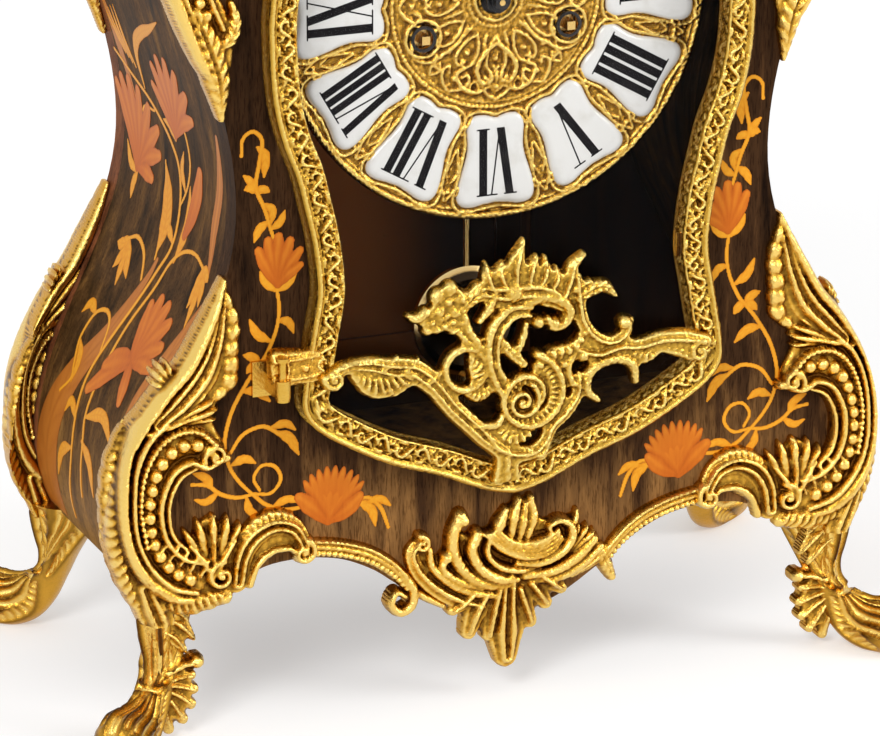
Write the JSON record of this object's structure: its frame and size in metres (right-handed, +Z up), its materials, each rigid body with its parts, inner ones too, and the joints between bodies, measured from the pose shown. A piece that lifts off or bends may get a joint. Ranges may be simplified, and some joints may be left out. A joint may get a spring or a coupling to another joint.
{
  "type": "table clock",
  "caption": "Waisted wooden table clock with gilt mounts, hinged glazed door, embossed dial with numeral plates, pendulum movement, back door and a flame finial.",
  "frame": {"origin": "on the floor under the middle of the clock", "axes": "+X to the clock's right as seen from the front, the dial faces -Y, +Z up"},
  "size_m": [0.3046, 0.1706, 0.5],
  "materials": {
    "case_wood": "polished veneer, dark",
    "inner_wood": "unpolished",
    "gilt_mounts": "burnished gilding with dark hollows",
    "gilt_dial": "embossed gilt sheet",
    "enamel": "white enamel with black numerals",
    "black_steel": "black",
    "brass": "satin brass",
    "steel": "brushed",
    "bob_brass": "polished",
    "bell_metal": "turned",
    "glass": "clear"
  },
  "bodies": {
    "case": {"front_board": "case_wood", "back_frame": "case_wood", "left_side_panel": "case_wood", "right_side_panel": "case_wood", "roof_panels": "case_wood", "base_board": "inner_wood", "top_board": "case_wood", "front_left_corner_mount": "gilt_mounts", "front_right_corner_mount": "gilt_mounts", "rear_left_corner_mount": "gilt_mounts", "rear_right_corner_mount": "gilt_mounts", "front_left_leg": "gilt_mounts", "front_right_leg": "gilt_mounts", "rear_left_leg": "gilt_mounts", "rear_right_leg": "gilt_mounts", "front_left_shoulder_mount": "gilt_mounts", "front_right_shoulder_mount": "gilt_mounts", "rear_left_shoulder_mount": "gilt_mounts", "rear_right_shoulder_mount": "gilt_mounts", "apron_mount": "gilt_mounts", "apron_mouldings": "gilt_mounts", "crest_mount": "gilt_mounts", "finial_plinth": "gilt_mounts", "finial_vase": "gilt_mounts", "finial_flame": "gilt_mounts", "hinge_brackets": "gilt_mounts", "hinge_pins": "gilt_mounts", "door_catch": "brass", "back_door_hinges": "brass", "back_door_pins": "brass", "dial_plate": "gilt_dial", "numeral_plates": "enamel", "winding_rings": "black_steel", "movement_plates": "brass", "movement_pillars": "brass", "case_straps": "brass", "suspension": "brass", "bell": "bell_metal"},
    "front_door": {"door_frame": "gilt_mounts", "door_glass": "glass", "glass_clips": "brass", "door_ornament": "gilt_mounts"},
    "back_door": {"back_door": "case_wood", "sound_grille": "brass"},
    "back_latch": {"back_door_latch": "brass"},
    "minute_hand": {"minute_hand": "black_steel", "hand_nut": "brass", "centre_wheel": "brass"},
    "hour_hand": {"hour_hand": "black_steel"},
    "minute_wheel": {"minute_wheel": "brass"},
    "time_barrel": {"time_barrel": "brass"},
    "strike_barrel": {"strike_barrel": "brass"},
    "time_winding_arbor": {"time_winding_arbor": "steel"},
    "strike_winding_arbor": {"strike_winding_arbor": "steel"},
    "third_wheel": {"third_wheel": "brass"},
    "escape_wheel": {"escape_wheel": "brass"},
    "anchor": {"anchor": "steel"},
    "pendulum": {"pendulum_rod": "brass", "pendulum_bob": "bob_brass"},
    "hammer": {"hammer": "steel"}
  },
  "joints": [
    {"name": "front_door_swing", "type": "hinge", "parent": "case", "child": "front_door", "pos_m": [-0.083, -0.071, 0.24], "axis": [0, 0, -1], "range_deg": [0, 100]},
    {"name": "back_door_swing", "type": "hinge", "parent": "case", "child": "back_door", "pos_m": [-0.0624, 0.064, 0.16], "axis": [0, 0, 1], "range_deg": [0, 100]},
    {"name": "back_latch_turn", "type": "hinge", "parent": "back_door", "child": "back_latch", "pos_m": [0.05, 0.06, 0.165], "axis": [0, -1, 0], "range_deg": [0, 90]},
    {"name": "minute_hand_turn", "type": "hinge", "parent": "case", "child": "minute_hand", "pos_m": [0, -0.04, 0.24], "axis": [0, 1, 0], "continuous": true},
    {"name": "hour_hand_turn", "type": "hinge", "parent": "case", "child": "hour_hand", "pos_m": [0, -0.04, 0.24], "axis": [0, 1, 0], "continuous": true},
    {"name": "minute_wheel_turn", "type": "hinge", "parent": "case", "child": "minute_wheel", "pos_m": [0, -0.045, 0.2304], "axis": [0, 1, 0], "continuous": true},
    {"name": "time_barrel_turn", "type": "hinge", "parent": "case", "child": "time_barrel", "pos_m": [0.0257, -0.037, 0.229], "axis": [0, 1, 0], "continuous": true},
    {"name": "strike_barrel_turn", "type": "hinge", "parent": "case", "child": "strike_barrel", "pos_m": [-0.0257, -0.037, 0.229], "axis": [0, 1, 0], "continuous": true},
    {"name": "time_winding", "type": "hinge", "parent": "case", "child": "time_winding_arbor", "pos_m": [0.0257, -0.037, 0.229], "axis": [0, 1, 0], "continuous": true},
    {"name": "strike_winding", "type": "hinge", "parent": "case", "child": "strike_winding_arbor", "pos_m": [-0.0257, -0.037, 0.229], "axis": [0, 1, 0], "continuous": true},
    {"name": "third_wheel_turn", "type": "hinge", "parent": "case", "child": "third_wheel", "pos_m": [0, -0.037, 0.2508], "axis": [0, 1, 0], "continuous": true},
    {"name": "escape_wheel_turn", "type": "hinge", "parent": "case", "child": "escape_wheel", "pos_m": [0, -0.037, 0.261], "axis": [0, 1, 0], "continuous": true},
    {"name": "anchor_swing", "type": "hinge", "parent": "case", "child": "anchor", "pos_m": [0, -0.03, 0.278], "axis": [0, 1, 0], "range_deg": [-3.5, 3.5]},
    {"name": "pendulum_swing", "type": "hinge", "parent": "case", "child": "pendulum", "pos_m": [0, -0.025, 0.278], "axis": [0, 1, 0], "range_deg": [-3.5, 3.5]},
    {"name": "hammer_swing", "type": "hinge", "parent": "case", "child": "hammer", "pos_m": [-0.032, -0.03, 0.274], "axis": [0, -1, 0], "range_deg": [-12, 6]}
  ],
  "couplings": [
    {"joint": "hour_hand_turn", "follows": "minute_hand_turn", "ratio": 0.083333},
    {"joint": "minute_wheel_turn", "follows": "minute_hand_turn", "ratio": -0.33333},
    {"joint": "time_barrel_turn", "follows": "minute_hand_turn", "ratio": -0.13333},
    {"joint": "third_wheel_turn", "follows": "minute_hand_turn", "ratio": -8},
    {"joint": "anchor_swing", "follows": "pendulum_swing", "ratio": 1}
  ]
}
